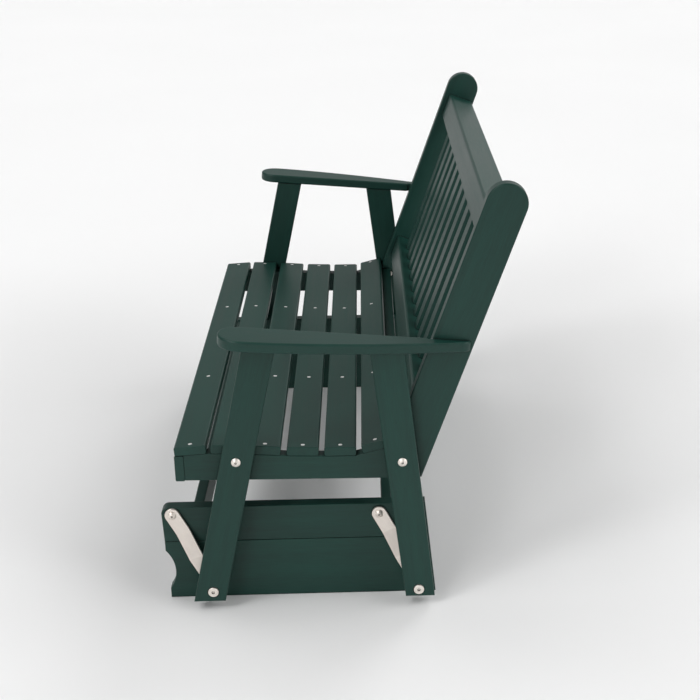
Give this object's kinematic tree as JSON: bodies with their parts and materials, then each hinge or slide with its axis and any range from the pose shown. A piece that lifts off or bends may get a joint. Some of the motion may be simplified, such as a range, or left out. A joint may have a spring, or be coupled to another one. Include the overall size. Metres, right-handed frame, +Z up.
{
  "type": "glider bench",
  "caption": "Slatted two-seat glider bench whose seat frame swings fore and aft on four metal links hung from a low base.",
  "frame": {"origin": "on the floor under the middle of the bounding box, seat in the pictured swung-back position", "axes": "+X along the bench towards a sitter's left, front faces -Y, +Z up"},
  "size_m": [1.352, 0.7558, 0.9184],
  "materials": {
    "green_lumber": "satin dark green recycled-plastic board with a fine brushed grain and eased edges",
    "link_metal": "bare flat bar, fine grain",
    "fastener_metal": "bare stainless, satin",
    "dowel": "plain, hidden inside the boards"
  },
  "bodies": {
    "base": {"base_panel_lower_left": "green_lumber", "base_panel_lower_right": "green_lumber", "base_panel_upper_left": "green_lumber", "base_panel_upper_right": "green_lumber", "base_stretcher_front": "green_lumber", "base_stretcher_rear": "green_lumber", "base_dowels": "dowel", "pivot_bolts_upper": "fastener_metal", "pivot_washers_upper": "fastener_metal", "pivot_nuts_upper": "fastener_metal"},
    "front_left_link": {"glide_link_front_left": "link_metal"},
    "front_right_link": {"glide_link_front_right": "link_metal"},
    "rear_left_link": {"glide_link_rear_left": "link_metal"},
    "rear_right_link": {"glide_link_rear_right": "link_metal"},
    "seat_frame": {"leg_front_left": "green_lumber", "leg_front_right": "green_lumber", "leg_rear_left": "green_lumber", "leg_rear_right": "green_lumber", "armrest_left": "green_lumber", "armrest_right": "green_lumber", "seat_rail_left": "green_lumber", "seat_rail_right": "green_lumber", "back_post_left": "green_lumber", "back_post_right": "green_lumber", "seat_apron": "green_lumber", "seat_rear_rail": "green_lumber", "seat_slat_1": "green_lumber", "seat_slat_2": "green_lumber", "seat_slat_3": "green_lumber", "seat_slat_4": "green_lumber", "seat_slat_5": "green_lumber", "seat_slat_6": "green_lumber", "back_top_rail": "green_lumber", "back_lower_rail": "green_lumber", "back_slat_01": "green_lumber", "back_slat_02": "green_lumber", "back_slat_03": "green_lumber", "back_slat_04": "green_lumber", "back_slat_05": "green_lumber", "back_slat_06": "green_lumber", "back_slat_07": "green_lumber", "back_slat_08": "green_lumber", "back_slat_09": "green_lumber", "back_slat_10": "green_lumber", "back_slat_11": "green_lumber", "back_slat_12": "green_lumber", "seat_screws": "fastener_metal", "frame_bolts": "fastener_metal", "frame_washers": "fastener_metal", "frame_nuts": "fastener_metal", "pivot_bolts_lower": "fastener_metal", "pivot_washers_lower": "fastener_metal", "pivot_nuts_lower": "fastener_metal", "frame_dowels": "dowel", "back_slat_dowels": "dowel"}
  },
  "joints": [
    {"name": "glide", "type": "hinge", "parent": "base", "child": "front_left_link", "pos_m": [0.584, -0.35442, 0.2037], "axis": [1, 0, 0], "range_deg": [-57, 4]},
    {"name": "front_right_link_swing", "type": "hinge", "parent": "base", "child": "front_right_link", "pos_m": [-0.584, -0.35442, 0.2037], "axis": [1, 0, 0], "range_deg": [-57, 4]},
    {"name": "rear_left_link_swing", "type": "hinge", "parent": "base", "child": "rear_left_link", "pos_m": [0.584, 0.08138, 0.1976], "axis": [1, 0, 0], "range_deg": [-57, 4]},
    {"name": "rear_right_link_swing", "type": "hinge", "parent": "base", "child": "rear_right_link", "pos_m": [-0.584, 0.08138, 0.1976], "axis": [1, 0, 0], "range_deg": [-57, 4]},
    {"name": "seat_on_link", "type": "hinge", "parent": "front_left_link", "child": "seat_frame", "pos_m": [0.584, -0.27242, 0.0447], "axis": [1, 0, 0], "range_deg": [-4, 57]}
  ],
  "couplings": [
    {"joint": "front_right_link_swing", "follows": "glide", "ratio": 1},
    {"joint": "rear_left_link_swing", "follows": "glide", "ratio": 1},
    {"joint": "rear_right_link_swing", "follows": "glide", "ratio": 1},
    {"joint": "seat_on_link", "follows": "glide", "ratio": -1}
  ]
}
